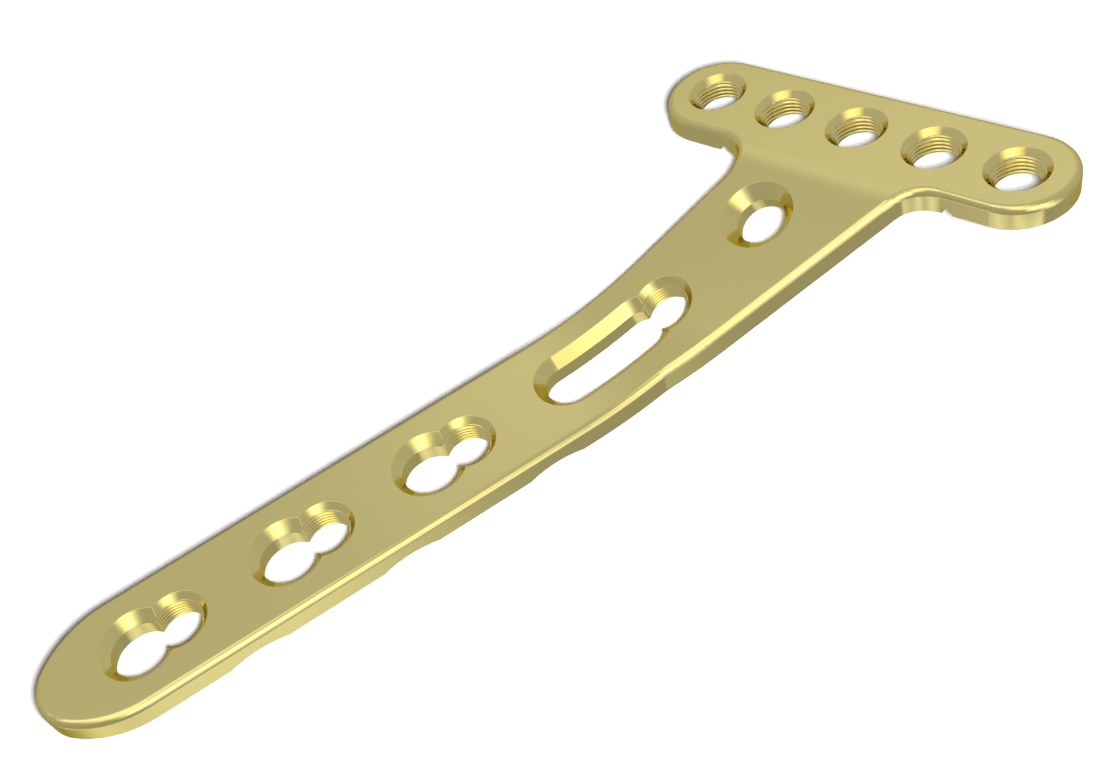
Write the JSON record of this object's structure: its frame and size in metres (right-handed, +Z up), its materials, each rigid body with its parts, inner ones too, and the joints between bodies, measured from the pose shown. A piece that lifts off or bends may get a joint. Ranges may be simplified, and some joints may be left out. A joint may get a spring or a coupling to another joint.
{
  "type": "bone plate",
  "caption": "Locking T-plate for a bone end: flat shaft with combination holes, long slot over a gentle bend, and a skewed head with a row of threaded screw holes",
  "frame": {"origin": "on the shaft's flat underside, on the axis of the first combination hole's plain circle", "axes": "+X along the shaft to the head, +Y to the plate's left edge, +Z up through the shaft's upper face"},
  "size_m": [0.0872, 0.0364, 0.0109],
  "materials": {
    "anodised_titanium": "gold-anodised titanium, polished to a fine satin"
  },
  "bodies": {
    "root": {"bone_plate": "anodised_titanium"}
  },
  "joints": []
}
